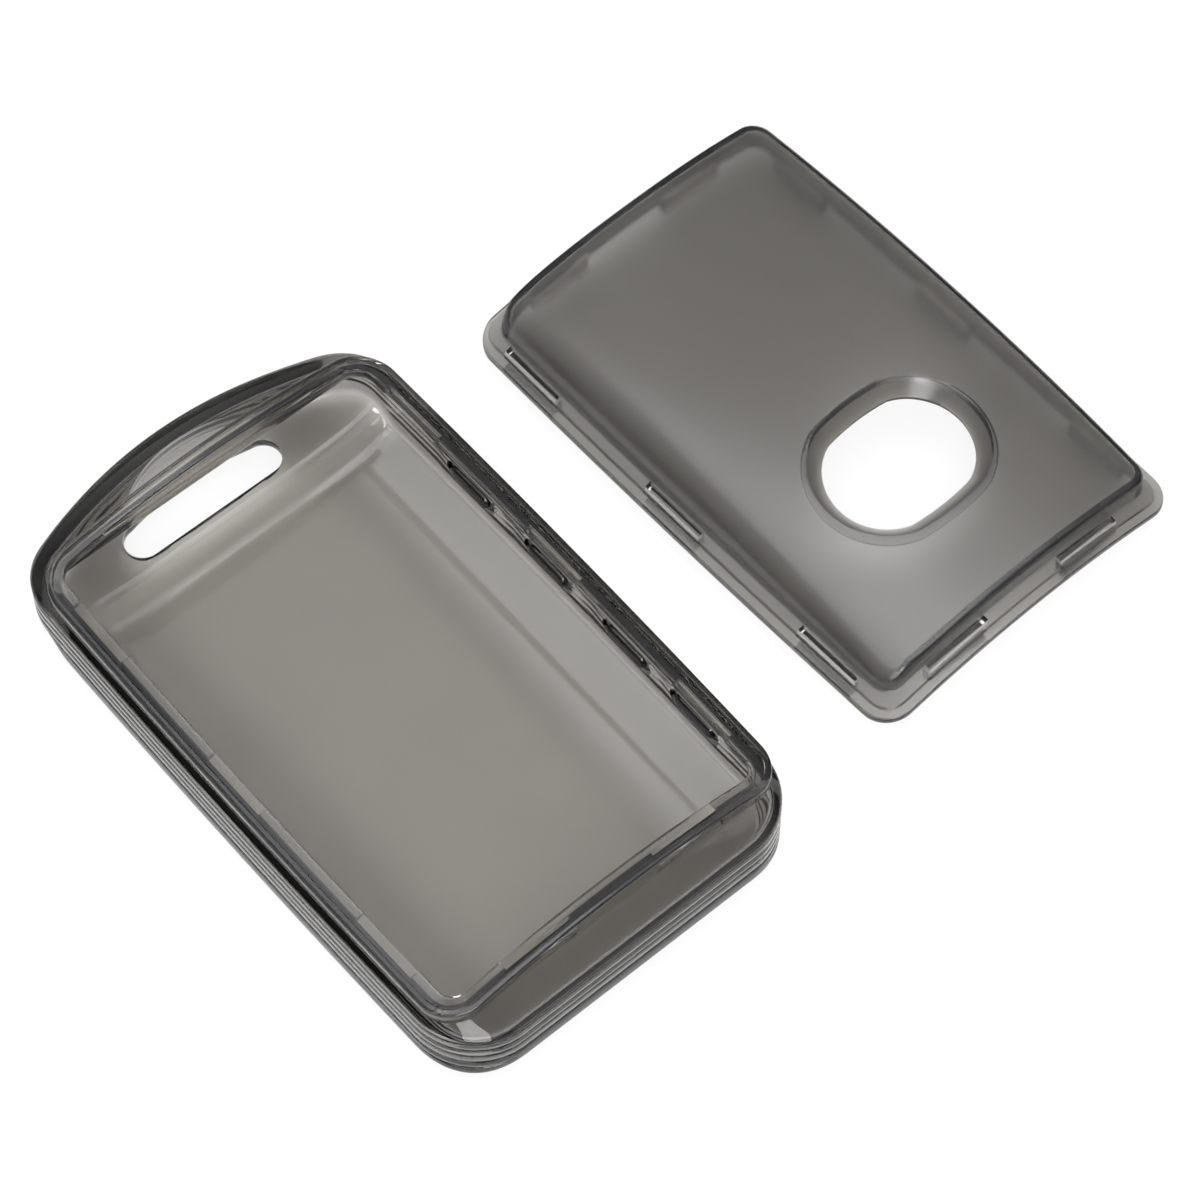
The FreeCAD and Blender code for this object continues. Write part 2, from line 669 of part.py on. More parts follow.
def ring_way(doc):
    """Mouth in the ear's top and the slot in its floor, which a key ring passes through."""
    mouth = padded(doc, "ear_mouth", "XY_Plane", [[
        ("-mouth_half", "mouth_near", ("mouth_radius", 1)), ("mouth_half", "mouth_near", None),
    ]], "above", level="ring_slot_deep")
    slot = padded(doc, "ring_slot", "XY_Plane", [[
        ("-ring_slot_half", "ring_slot_near", ("ring_slot_end", 1)),
        ("ring_slot_half", "ring_slot_near", None),
        ("ring_slot_half", "ring_slot_far", ("ring_slot_end", 1)),
        ("-ring_slot_half", "ring_slot_far", ("ring_slot_bow", 1)),
    ]], "ring_slot_deep")
    return [mouth, slot]


def tray_notches(doc):
    """Pockets in the lip's underside that the lid's barbs snap into."""
    sizes = ("hook_zero", "notch_deep", "notch_long", "notch_low", "notch_tall")
    return [hook_block(doc, "notch_", hook, sizes) for hook in HOOKS]


def base_tray(doc):
    rebate = joined(doc, "Part::MultiCommon", "lid_seat", [
        padded(doc, "rebate", "XY_Plane", [rounded("rebate")], "above"),
        padded(doc, "above_ledge", "XZ_Plane", [above_arch("ledge")], "through", both_ways=True),
    ])
    small_cuts = joined(doc, "Part::MultiFuse", "tray_small_cuts",
                        pad_cutters(doc) + ring_way(doc) + tray_notches(doc))
    shell = cut(doc, "tray_shell", tray_outside(doc), tray_hollow(doc))
    seated = cut(doc, "tray_seated", shell, rebate)
    ribbed = cut(doc, "tray_ribbed", seated, rib_grooves(doc))
    tray = cut(doc, "tray_solid", ribbed, small_cuts)
    tray.Label = "base_tray"
    return tray


def press_pad(doc, index, at):
    """Pad that travels inwards, with the nub that reaches the key's own button."""
    plate = padded(doc, f"pad_{index}_plate", "YZ_Plane", [rounded("pad")], "pad_thick", level="pad_back")
    nub = padded(doc, f"pad_{index}_nub", "YZ_Plane", [rounded("nub")], "nub_depth", level="nub_face")
    for piece in (plate, nub):
        stand(piece, None, at, "pad_level")
    pad = joined(doc, "Part::MultiFuse", f"press_pad_{index}_solid", [plate, nub])
    pad.Label = f"press_pad_{index}"
    return pad


def dome_section():
    """Cross-section of the lid's raised dome: crowned panel and rounded cheeks."""
    return [
        ("-dome_x", "lid_low", None), ("dome_x", "lid_low", None), ("dome_x", "dome_foot", None),
        ("panel_half", "panel_edge", ("cheek_arc", 1)),
        ("-panel_half", "panel_edge", ("panel_arc", 1)),
        ("-dome_x", "dome_foot", ("cheek_arc", 1)),
    ]


def dome_inside():
    """The same section one shell thickness in."""
    return [
        ("-dome_in_foot_x", "lid_low", None), ("dome_in_foot_x", "lid_low", None),
        ("dome_in_foot_x", "dome_in_foot_z", None),
        ("panel_in_half", "panel_in_edge", ("cheek_in_arc", 1)),
        ("-panel_in_half", "panel_in_edge", ("panel_in_arc", 1)),
        ("-dome_in_foot_x", "dome_in_foot_z", ("cheek_in_arc", 1)),
    ]


def lid_reliefs(doc):
    """Slots through the flange above each hook, against the foot of the dome."""
    sizes = ("relief_set", "relief_width", "relief_length", "relief_low", "relief_tall")
    return [hook_block(doc, "relief_", hook, sizes) for hook in HOOKS]


def front_lid(doc):
    flange = joined(doc, "Part::MultiCommon", "flange_plate", [
        padded(doc, "flange_block", "XY_Plane", [rounded("flange")], "above"),
        padded(doc, "flange_layer", "XZ_Plane", [arch_slab("ledge", "flange_top")], "through",
               both_ways=True),
    ])
    dome = joined(doc, "Part::MultiCommon", "dome_solid", [
        padded(doc, "dome_block", "XY_Plane", [rounded("dome")], "above"),
        padded(doc, "dome_layer", "XZ_Plane", [dome_section()], "through", both_ways=True),
        padded(doc, "dome_above", "XZ_Plane", [above_arch("ledge")], "through", both_ways=True),
    ])
    inside = joined(doc, "Part::MultiCommon", "dome_hollow", [
        padded(doc, "dome_in_block", "XY_Plane", [rounded("dome_in")], "above"),
        padded(doc, "dome_in_layer", "XZ_Plane", [dome_inside()], "through", both_ways=True),
    ])
    bevel = lofted(doc, "window_bevel", oval("hole"), "window_low", oval("rim_of_hole"), "window_over")
    hole = padded(doc, "window_hole", "XY_Plane", [oval("hole")], "above")
    block = joined(doc, "Part::MultiFuse", "lid_block", [flange, dome])
    shell = cut(doc, "lid_shell", block, inside)
    small_cuts = joined(doc, "Part::MultiFuse", "lid_small_cuts", [bevel, hole] + lid_reliefs(doc))
    opened = cut(doc, "lid_opened", shell, small_cuts)
    lid = joined(doc, "Part::MultiFuse", "lid_solid", [opened] + snap_hooks(doc))
    lid.Label = "front_lid"
    return lid


def lay_down(doc, lid):
    """Lays the lid beside the tray, on its hook tips."""
    stand(lid, "lid_at_x", "lid_at_y", "lid_at_z", number(doc, "lid_turn"))
    lid.setExpression("Placement.Rotation.Angle", ref("lid_turn"))
    doc.recompute()


def check(doc, parts):
    for item in doc.Objects:
        if "Invalid" in item.State or "Error" in item.State:
            raise RuntimeError(f"{item.Name} failed to build")
    for part in parts:
        if part.Shape.isNull() or not part.Shape.isValid() or not part.Shape.Solids:
            raise RuntimeError(f"{part.Label} has no valid solid")
        if len(part.Shape.Solids) != 1:
            raise RuntimeError(f"{part.Label} has {len(part.Shape.Solids)} solids")


def main():
    doc = FreeCAD.newDocument("key_fob_cover")
    work_out_places()
    fill_sheet(doc, "dims", SIZES)
    fill_sheet(doc, "places", PLACES)
    tray = base_tray(doc)
    lid = front_lid(doc)
    lay_down(doc, lid)
    parts = [tray, lid]
    parts += [press_pad(doc, index, at) for index, at in enumerate(PADS, start=1)]
    doc.recompute()
    check(doc, parts)
    os.makedirs("parts", exist_ok=True)
    for part in parts:
        part.Shape.exportStep(f"parts/{part.Label}.step")
        print(part.Label, round(part.Shape.Volume, 1), part.Shape.BoundBox)


main()
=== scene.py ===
import bpy
import math
import numpy as np
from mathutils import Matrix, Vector


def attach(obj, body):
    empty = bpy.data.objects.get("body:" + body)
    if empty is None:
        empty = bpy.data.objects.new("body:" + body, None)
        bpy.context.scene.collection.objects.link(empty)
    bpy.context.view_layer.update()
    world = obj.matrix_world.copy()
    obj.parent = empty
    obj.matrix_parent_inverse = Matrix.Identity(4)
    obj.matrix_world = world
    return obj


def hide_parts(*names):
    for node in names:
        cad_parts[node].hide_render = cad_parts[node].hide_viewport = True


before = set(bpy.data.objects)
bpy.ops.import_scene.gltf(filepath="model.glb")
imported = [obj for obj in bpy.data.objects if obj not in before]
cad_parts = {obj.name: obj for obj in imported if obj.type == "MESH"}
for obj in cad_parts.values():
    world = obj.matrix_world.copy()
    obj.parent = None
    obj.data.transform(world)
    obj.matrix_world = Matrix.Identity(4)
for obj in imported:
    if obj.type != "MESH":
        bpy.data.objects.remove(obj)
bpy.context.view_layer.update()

# TRAY
# The lower half of the cover, one thin moulding in smoky clear TPU. It has a ribbed girth, an ear with
# a slot for the key ring, and an arched rim whose ledge takes the lid. It lies loose on the table.

# Outline of the girth, in millimetres in the shared frame, as are all sizes of the tray, pads and lid.
half, near, corner = 25.3, -43.6, 8.4
ear_reach, ear_radius, ear_corner = 42.4, 54, 8

# Share of the width by which the ends are drawn in, how far from the middle that is, and the middle's Y.
bow_share, bow_reach, bow_middle = 0.022, 40, -1

# Points along the near side, each corner, each long side and the far side of an outline.
near_steps, corner_steps, side_steps, far_steps = 40, 14, 60, 48


def line(start, end, count):
    """Points along a straight line, without its end point."""
    share = np.linspace(0, 1, count, endpoint=False)[:, None]
    return np.array(start) * (1 - share) + np.array(end) * share


def arc(centre, radius, start, end, count):
    """Points along an arc between two angles in degrees, without its end point."""
    turn = np.radians(np.linspace(start, end, count, endpoint=False))
    return np.column_stack([centre[0] + radius * np.cos(turn), centre[1] + radius * np.sin(turn)])


def bowed(points):
    """Draws the ends in a little, so that the long sides bow outwards."""
    share = 1 - bow_share * ((points[:, 1] - bow_middle) / bow_reach) ** 2
    return np.column_stack([points[:, 0] * share, points[:, 1]])


def oblong(reach, near_end, far_end, bend):
    """Rounded rectangle, from its near side round by the right."""
    x, low, high = reach - bend, near_end + bend, far_end - bend
    return bowed(np.concatenate([
        line((-x, near_end), (x, near_end), near_steps),
        arc((x, low), bend, -90, 0, corner_steps),
        line((reach, low), (reach, high), side_steps),
        arc((x, high), bend, 0, 90, corner_steps),
        line((x, far_end), (-x, far_end), far_steps),
        arc((-x, high), bend, 90, 180, corner_steps),
        line((-reach, high), (-reach, low), side_steps),
        arc((-x, low), bend, 180, 270, corner_steps),
    ]))


def eared(inset):
    """Girth outline with its bowed ear, set in evenly, point for point like the rounded rectangle."""
    x, low = half - corner, near + corner
    side, middle = half - ear_corner, ear_reach - ear_radius
    high = middle + math.sqrt((ear_radius - ear_corner) ** 2 - side ** 2)
    slant = math.degrees(math.atan2(high - middle, side))
    small, reach = ear_corner - inset, half - inset
    return bowed(np.concatenate([
        line((-x, near + inset), (x, near + inset), near_steps),
        arc((x, low), corner - inset, -90, 0, corner_steps),
        line((reach, low), (reach, high), side_steps),
        arc((side, high), small, 0, slant, corner_steps),
        arc((0, middle), ear_radius - inset, slant, 180 - slant, far_steps),
        arc((-side, high), small, 180 - slant, 180, corner_steps),
        line((-reach, high), (-reach, low), side_steps),
        arc((-x, low), corner - inset, 180, 270, corner_steps),
    ]))


def ring(points, level):
    """Outline lifted to a level, which may differ from point to point."""
    return np.column_stack([points, np.broadcast_to(level, len(points))])


def eased(knots, most=0.47):
    """Rings through the knots, each knot being (ring, rounding, steps) and rounded along every line.

    A rounding takes at most the given share of the way to the next knot.
    """
    rings = []
    for index, (here, rounding, steps) in enumerate(knots):
        if not steps:
            rings.append(here)
            continue
        before, after = knots[index - 1][0] - here, knots[index + 1][0] - here
        legs = []
        for leg in (before, after):
            length = np.linalg.norm(leg, axis=1)
            legs.append(leg * (np.minimum(rounding, most * length) / length)[:, None])
        for share in np.linspace(0, 1, steps + 1):
            rings.append(here + legs[0] * (1 - share) ** 2 + legs[1] * share ** 2)
    return rings


def skin(name, rings):
    """Wraps a grid round the rings, closes its seam and fills both ends."""
    tube = np.array(rings)
    tube = np.concatenate([tube, tube[:, :1]], axis=1) / 1000
    bpy.ops.object.select_all(action="DESELECT")
    bpy.ops.mesh.primitive_grid_add(x_subdivisions=tube.shape[1] - 1, y_subdivisions=tube.shape[0] - 1)
    piece = bpy.context.object
    piece.name = name
    piece.data.name = name
    piece.data.vertices.foreach_set("co", tube.ravel())
    bpy.ops.object.mode_set(mode="EDIT")
    bpy.ops.mesh.select_all(action="SELECT")
    bpy.ops.mesh.remove_doubles(threshold=1e-8)
    bpy.ops.mesh.fill_holes(sides=0)
    bpy.ops.mesh.normals_make_consistent(inside=False)
    bpy.ops.object.mode_set(mode="OBJECT")
    return piece


def carve(piece, cutters, operation="DIFFERENCE"):
    """Joins the cutters and takes them out of the piece, or melts them into it."""
    bpy.ops.object.select_all(action="DESELECT")
    for cutter in cutters:
        cutter.select_set(True)
    bpy.context.view_layer.objects.active = cutters[0]
    if len(cutters) > 1:
        bpy.ops.object.join()
    tool = bpy.context.object
    bpy.context.view_layer.objects.active = piece
    step = piece.modifiers.new("carve", "BOOLEAN")
    step.operation = operation
    step.object = tool
    step.solver = "MANIFOLD"
    bpy.ops.object.modifier_apply(modifier=step.name)
    bpy.data.objects.remove(tool)
    piece.data.materials.clear()


def smooth(low, high, value):
    """Soft step from 0 to 1 between two values."""
    share = np.clip((value - low) / (high - low), 0, 1)
    return share * share * (3 - 2 * share)


# Underside: a flat middle, curved cheeks, a rounded toe, and a ramp and a heel under the ear. The ease is
# a trace that keeps the square root of the height off zero.
flat_half, cheek_radius = 13, 27.3
toe_start, toe_radius, toe_most = -35, 14.2, 14
heel_start, heel_radius, heel_most = 38.6, 4.95, 4.9
ramp_start, ramp_length, ramp_rise = 27.8, 3.6, 2.2
flat_ease = 1e-9

# Floor inside: it swells to a crease along each long side and has a bevel beyond it.
floor_thick = 1.4
swell_start, swell_width, swell_slope = 9, 8.2, 0.15
bevel_start, bevel_slope, bevel_ease = 18.1, 0.3, 0.09


def lifted(across, y):
    """Height of a layer that rises across the part, with its rounded toe, its ramp and its heel."""
    toe = np.clip(toe_start - y, 0, toe_most)
    heel = np.clip(y - heel_start, 0, heel_most)
    climb = np.clip((y - ramp_start) / ramp_length, 0, 1)
    along = toe_radius - np.sqrt(toe_radius ** 2 - toe ** 2)
    along = along + heel_radius - np.sqrt(heel_radius ** 2 - heel ** 2)
    return np.sqrt(across ** 2 + along ** 2 + flat_ease) + ramp_rise * climb ** 2 * (3 - 2 * climb)


def belly(points):
    """Height of the underside: a flat middle with curved cheeks."""
    out = np.maximum(np.abs(points[:, 0]) - flat_half, 0)
    return lifted(cheek_radius - np.sqrt(cheek_radius ** 2 - out ** 2), points[:, 1])


def floor(points):
    """Height of the floor inside: a flat middle that swells to a crease, and a bevel beyond it."""
    x = np.abs(points[:, 0])
    swell = np.clip(x - swell_start, 0, swell_width) ** 2 * swell_slope / (2 * swell_width)
    out = x - bevel_start
    bevel = bevel_slope * (out + np.sqrt(out ** 2 + bevel_ease)) / 2
    return lifted(swell + bevel, points[:, 1]) + floor_thick


# Girth: its top drops at the ear, and a smooth scoop surrounds the press pads.
girth_top, edge_rise = 10.4, 1.3
pad_places, pad_level = (13.6, -0.2, -14, -25.8), 8
scoop_depth, scoop_side = 0.4, 20
scoop_length, scoop_foot, scoop_head = (4.4, 6.6), (4.6, 5.8), (10, 10.4)
ear_drop, ear_slope = 0.106, (33, 41)
ring_gap, groove_fade = 0.004, 0.4
outer, one_in = eared(0), eared(1)
girth_foot = belly(outer) + edge_rise
ear_fall = 1 - ear_drop * smooth(*ear_slope, outer[:, 1])


def set_in(inset):
    """Girth outline, set in by an amount for each of its points."""
    return outer + (one_in - outer) * inset[:, None]


def dish(level):
    """Share of the scoop round the press pads at each point of the girth."""
    zone = np.zeros(len(outer))
    for place in pad_places:
        zone = np.maximum(zone, 1 - smooth(*scoop_length, np.abs(outer[:, 1] - place)))
    on_side = outer[:, 0] > scoop_side
    zone *= smooth(*scoop_foot, level) * (1 - smooth(*scoop_head, level)) * on_side
    return zone


def girth(height, depth, rank):
    """Ring round the girth, in by the groove's depth, above the curve of the underside."""
    drop = height * ear_fall
    level = np.maximum(drop, girth_foot + ring_gap * rank)
    scoop = dish(level)
    fade = np.clip((drop - girth_foot) / groove_fade, 0, 1)
    return ring(set_in(depth * fade * (1 - scoop) + scoop_depth * scoop), level)


# Underside out to the edge of the girth, then the grooves between the ribs as rises and depths.
rib_low, rib_pitch, rib_count = 3.7, 1.45, 5
groove_depth, groove_round = 0.45, 0.06
groove = ((0, 0), (0.07, groove_depth), (0.45, groove_depth), (0.52, 0))
foot_in, foot_round = 1.6, 1.25
foot = eared(foot_in)
cap_core, floor_rings = 0.02, 60
cap = np.linspace(cap_core, 1, floor_rings)
knots = [(ring(foot * share, belly(foot * share)), 0, 0) for share in cap]
knots.append((ring(outer, belly(outer)), foot_round, 5))
for row in range(rib_count):
    low = rib_low + rib_pitch * row
    for step, (rise, depth) in enumerate(groove):
        rank = len(groove) * row + step
        knots.append((girth(low + rise, depth, rank), groove_round, 2 if depth == 0 else 0))

# The rim and its ledge follow one arch across the part.
arch_radius, rim_crown = 94.4, 16.6
arch_middle = rim_crown - arch_radius
rim_drop, seat_drop = 1.8, 0.7


def crown(x, drop=0):
    """Height of the rim's arch across the part, or of a layer below it."""
    return arch_middle + np.sqrt((arch_radius - drop) ** 2 - x ** 2)


# Half width, near end, far end and corner of each outline, from the outside of the rim to its inside.
neck = oblong(24.3, -39.8, 33.45, 4.5)
rim = oblong(24.7, -40.2, 33.85, 4.9)
seat = oblong(23.8, -39.3, 33.3, 4.0)
opening = oblong(22, -37.5, 32.3, 2.2)
lip = oblong(22.8, -38.3, 32.8, 3.0)

# The wall is thinner at the near end, and thicker where it meets the floor at both ends.
wall, near_thinner = 2.3, 0.8
foot_wall, foot_at_ear, foot_at_near = 2.1, 0.3, 0.2
shoulder_level, lip_level, cavity_level = 12.3, 11, 9
neck_least, rim_tilt, lip_tilt, lip_least = 0.08, 0.04, 0.02, 0.5
near_zone, ear_zone = (-42, -34), (26, 32)
at_near = 1 - smooth(*near_zone, outer[:, 1])
at_ear = smooth(*ear_zone, outer[:, 1])
cavity = set_in(wall - near_thinner * at_near)
cavity_foot = set_in(foot_wall + foot_at_ear * at_ear + foot_at_near * at_near)
under = crown(neck[:, 0], rim_drop)
lip_top = crown(lip[:, 0], rim_drop)
knots += [
    (ring(outer, girth_top * ear_fall), 1.3, 5),
    (ring(neck, np.minimum(shoulder_level, under - neck_least)), 0.3, 3),
    (ring(neck, under), 0, 0),
    (ring(rim, crown(rim[:, 0], rim_drop) + rim_tilt), 0.15, 2),
    (ring(rim, crown(rim[:, 0])), 0.4, 4),
    (ring(seat, crown(seat[:, 0])), 0.22, 3),
    (ring(seat, crown(seat[:, 0], seat_drop)), 0.15, 2),
    (ring(opening, crown(opening[:, 0], seat_drop)), 0.3, 3),
    (ring(opening, crown(opening[:, 0], rim_drop)), 0.3, 3),
    (ring(lip, lip_top - lip_tilt), 0.2, 2),
    (ring(lip, np.minimum(lip_level, lip_top - lip_least)), 0.5, 3),
    (ring(cavity, cavity_level * ear_fall), 0.9, 4),
    (ring(cavity_foot, floor(cavity_foot)), 0.35, 4),
]
knots += [(ring(cavity_foot * share, floor(cavity_foot * share)), 0, 0) for share in cap[::-1][2:]]
tray = skin("tray_shell", eased(knots))


def prism(name, points, low, high):
    """Upright cutter with the outline of the points."""
    return skin(name, [ring(points, low), ring(points, high)])


def block(name, x, y, z):
    """Box cutter between two limits on each axis."""
    corners = np.array([(x[0], y[0]), (x[1], y[0]), (x[1], y[1]), (x[0], y[1])])
    return prism(name, bowed(corners), *z)


def pad_rings(length, height, bend, places, y):
    """Rounded rectangles along the wall, at places through its thickness."""
    flat = oblong(length / 2, -height / 2, height / 2, bend)
    return [np.column_stack([np.full(len(flat), x), flat[:, 0] + y, flat[:, 1] + pad_level]) for x in places]


# The slot in the ear's floor, bowed like the ear, with its edges rounded as spreads and levels.
slot_half, slot_near, slot_end, slot_bow = 8.7, 32.4, 2.3, 37
slot_middle = 34.7
straight_steps, end_steps, bow_steps = 20, 16, 24
slot_edge = ((0.3, -1), (0.3, 2.19), (0.1, 2.3), (0, 2.5), (0, 3.3), (0.1, 3.5), (0.3, 3.61), (0.3, 6))


def ring_slot(spread):
    """Outline of the slot, spread evenly."""
    bow, end = math.degrees(math.asin(slot_half / slot_bow)), slot_end + spread
    bow_centre = (0, slot_bow - slot_bow * math.cos(math.radians(bow)))
    return np.concatenate([
        line((-slot_half, slot_near - spread), (slot_half, slot_near - spread), straight_steps),
        arc((slot_half, slot_middle), end, -90, 90, end_steps),
        arc(bow_centre, slot_bow + spread, 90 - bow, 90 + bow, bow_steps),
        arc((-slot_half, slot_middle), end, 90, 270, end_steps),
    ])


# The lens-shaped mouth above the slot.
mouth_half, mouth_near, mouth_width, mouth_span = 11, 33.95, 5.5, (7, 15)
lens_steps = 40
mouth_radius = (mouth_half ** 2 + mouth_width ** 2) / (2 * mouth_width)
mouth_swing = math.degrees(math.asin(mouth_half / mouth_radius))
mouth_centre = (0, mouth_near + mouth_width - mouth_radius)
mouth = np.concatenate([
    line((-mouth_half, mouth_near), (mouth_half, mouth_near), straight_steps),
    arc(mouth_centre, mouth_radius, 90 - mouth_swing, 90 + mouth_swing, lens_steps),
])
cutters = [
    skin("slot_cutter", [ring(ring_slot(spread), level) for spread, level in slot_edge]),
    prism("mouth_cutter", mouth, *mouth_span),
]

# Holes for the press pads.
hole_length, hole_height, hole_corner, hole_span = 8.4, 3.8, 1.7, (20, 27)
for place in pad_places:
    hole = pad_rings(hole_length, hole_height, hole_corner, hole_span, place)
    cutters.append(skin("pad_cutter", hole))

# Pockets in the underside of the ledge, where the lid's hooks catch: how far out, and between which levels.
side_places, end_places, catch_half = (23.3, -1.6, -27.5), (-10.5, 10.5), 4.6
side_pocket, side_levels = (21.8, 23.15), (10.6, 12.73)
far_pocket, far_levels = (32.1, 32.7), (12.6, 14.1)
near_pocket, near_levels = (-38.65, -37.3), (12.2, 14.16)
for place in side_places:
    along = (place - catch_half, place + catch_half)
    for side in (-1, 1):
        reach = sorted((side * side_pocket[0], side * side_pocket[1]))
        cutters.append(block("notch_cutter", reach, along, side_levels))
for place in end_places:
    along = (place - catch_half, place + catch_half)
    cutters.append(block("notch_cutter", along, far_pocket, far_levels))
    cutters.append(block("notch_cutter", along, near_pocket, near_levels))
carve(tray, cutters)


def linear(code):
    """Scene colour of an sRGB hex code."""
    parts = [int(code[at:at + 2], 16) / 255 for at in (1, 3, 5)]
    return [part / 12.92 if part <= 0.04045 else ((part + 0.055) / 1.055) ** 2.4 for part in parts] + [1]


def node(tree, kind, settings=None, links=None):
    """Adds a node with its settings, and links its inputs, by name or number, to given outputs."""
    made = tree.nodes.new(kind)
    for name, value in (settings or {}).items():
        if isinstance(name, int) or name in made.inputs:
            made.inputs[name].default_value = value
        else:
            setattr(made, name, value)
    for name, output in (links or {}).items():
        tree.links.new(output, made.inputs[name])
    return made


def clear_plastic(name, tint, cloud, depth_colour, density, roughness):
    """See-through moulded plastic: a cloudy tint at the surface, and darker the thicker it is."""
    # Flow marks are about 11 mm wide, and a trace of their ripple makes mirrored lines waver a little. Worn
    # specks are far finer on the real skin, and are drawn 2 mm wide so that they show in the gloss.
    swirl, ripple, ripple_share = 11.11, 0.2, 0.006
    speck, wear_share = 2, 0.15
    material = bpy.data.materials.new(name)
    material.use_nodes = True
    tree = material.node_tree
    surface = tree.nodes["Principled BSDF"]
    surface.inputs["Transmission Weight"].default_value = 1
    surface.inputs["IOR"].default_value = 1.49
    place = node(tree, "ShaderNodeTexCoord").outputs["Object"]
    flow = node(tree, "ShaderNodeTexNoise", {"Scale": 1000 / swirl, "Detail": 2}, {"Vector": place})
    shade = node(tree, "ShaderNodeMix", {"data_type": "RGBA", 6: linear(tint), 7: linear(cloud)},
                 {"Factor": flow.outputs["Fac"]})
    tree.links.new(shade.outputs[2], surface.inputs["Base Color"])
    wear = node(tree, "ShaderNodeTexNoise", {"Scale": 1000 / speck, "Detail": 1}, {"Vector": place})
    rough = node(tree, "ShaderNodeMapRange",
                 {"To Min": roughness * (1 - wear_share), "To Max": roughness * (1 + wear_share)},
                 {"Value": wear.outputs["Fac"]})
    tree.links.new(rough.outputs["Result"], surface.inputs["Roughness"])
    bump = node(tree, "ShaderNodeBump", {"Strength": ripple_share, "Distance": ripple / 1000},
                {"Height": flow.outputs["Fac"]})
    tree.links.new(bump.outputs["Normal"], surface.inputs["Normal"])
    inside = node(tree, "ShaderNodeVolumeAbsorption", {"Color": linear(depth_colour), "Density": density})
    tree.links.new(inside.outputs["Volume"], tree.nodes["Material Output"].inputs["Volume"])
    return material


def finish(piece, material, angle):
    """Gives the piece its material, and smooth shading up to an angle in degrees."""
    piece.data.materials.append(material)
    bpy.ops.object.select_all(action="DESELECT")
    piece.select_set(True)
    bpy.context.view_layer.objects.active = piece
    bpy.ops.object.shade_smooth_by_angle(angle=math.radians(angle))


# Moulded TPU, smoky grey with a trace of brown: glossy, light where it is thin and dark at its edges.
tray_plastic = clear_plastic("moulded_TPU_tray", "#F5F1E9", "#EFEBE3", "#C4C4C5",
                             density=820, roughness=0.04)
finish(tray, tray_plastic, angle=32)
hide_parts("base_tray")
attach(tray, "tray")

# PRESS PADS
# Four small keys in the tray's long wall, in the same TPU but thicker and so darker. Each has a nub
# inside that meets the remote key's own button, and springs back out.

# Place through the wall, length, height and corner, from the nub's inner face to the crowned outside.
pad_profile = (
    (22.6, 0.4, 0.2, 0.08), (22.6, 5.6, 1.4, 0.6), (22.66, 6.1, 1.75, 0.75), (22.8, 6.4, 2, 0.9),
    (23.2, 6.5, 2.1, 0.9), (23.22, 7.6, 3.1, 1.4), (23.34, 8, 3.4, 1.5), (24.4, 8, 3.4, 1.5),
    (24.62, 7.85, 3.25, 1.45), (24.75, 7.4, 2.85, 1.3), (24.8, 6.6, 2.2, 1), (24.8, 0.4, 0.2, 0.08),
)

# Moulded TPU with a satin skin, nearly black because of its depth.
pad_plastic = clear_plastic("moulded_TPU_pad", "#8F8F90", "#858586", "#A9A8A6",
                            density=1500, roughness=0.12)
for index, place in enumerate(pad_places, start=1):
    rings = []
    for x, length, height, bend in pad_profile:
        rings += pad_rings(length, height, bend, (x,), place)
    pad = skin(f"pad_{index}", rings)
    finish(pad, pad_plastic, angle=40)
    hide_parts(f"press_pad_{index}")
    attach(pad, f"pad_{index}")

# LID
# The upper half of the cover, in the same smoky TPU, laid outer side up beside the tray. A thin arched
# flange goes round a raised dome with an oval window, and ten hooks under it snap into the tray.

flange_half, flange_near, flange_far, flange_corner = 23.65, -39.15, 32.6, 3.85
flange_thick, step_down = 1.2, 0.25
dome_half, dome_near, dome_far, dome_corner = 21.5, -36.3, 31.2, 2.4
dome_rise, dome_sink, dome_peak, dome_reach = 4.9, 2.3, 2, 39
dome_thick, dome_aside = 1.3, 0.5


def inset(by, by_end, bend):
    """Outline of the dome, set in by the sides and by the ends."""
    outline = oblong(dome_half - by, dome_near + by_end, dome_far - by_end, bend)
    return outline + np.array([dome_aside, 0])


def layer(points, rise):
    """Ring on the lid's arch, raised above the underside of its flange."""
    return ring(points, crown(points[:, 0], seat_drop - rise))


def top(points):
    """Ring on top of the dome, which is crowned along its length as well."""
    sink = dome_sink * ((points[:, 1] - dome_peak) / dome_reach) ** 2
    return layer(points, flange_thick + dome_rise - sink)


# The hollow leaves thin walls at the far end and on the right. The left shoulder is broad and soft.
left_soft, right_soft, edge_least, edge_power = 4.2, 0.4, 0.9, 8
side_wall, near_wall, far_wall, hollow_corner, hollow_aside = 1.0, 1.3, 0.7, 1.8, 0.3
inner_less, inner_least = 0.7, 0.4
below = np.array([0, 0, dome_thick])
dome_rings = 40
cap = np.linspace(cap_core, 1, dome_rings)
foot = inset(0, 0, dome_corner)
hollow = oblong(dome_half - side_wall, dome_near + near_wall, dome_far - far_wall, hollow_corner)
hollow = hollow + np.array([dome_aside + hollow_aside, 0])
crest, hollow_crest = inset(6.5, 2, 1.8), inset(6.7, 2.6, 1.6)
aside = (foot[:, 0] - dome_aside) / dome_half
edge_round = edge_least + np.where(aside < 0, left_soft, right_soft) * np.abs(aside) ** edge_power
flange = oblong(flange_half, flange_near, flange_far, flange_corner)
strip_in, strip_far, slope_in, slope_far = 1.1, 0.5, 1.3, 0.6
strip = oblong(flange_half - strip_in, flange_near + strip_in, flange_far - strip_far,
               flange_corner - strip_in)
slope = oblong(flange_half - slope_in, flange_near + slope_in, flange_far - slope_far,
               flange_corner - slope_in)
knots = [(top(hollow_crest * share) - below, 0, 0) for share in cap]
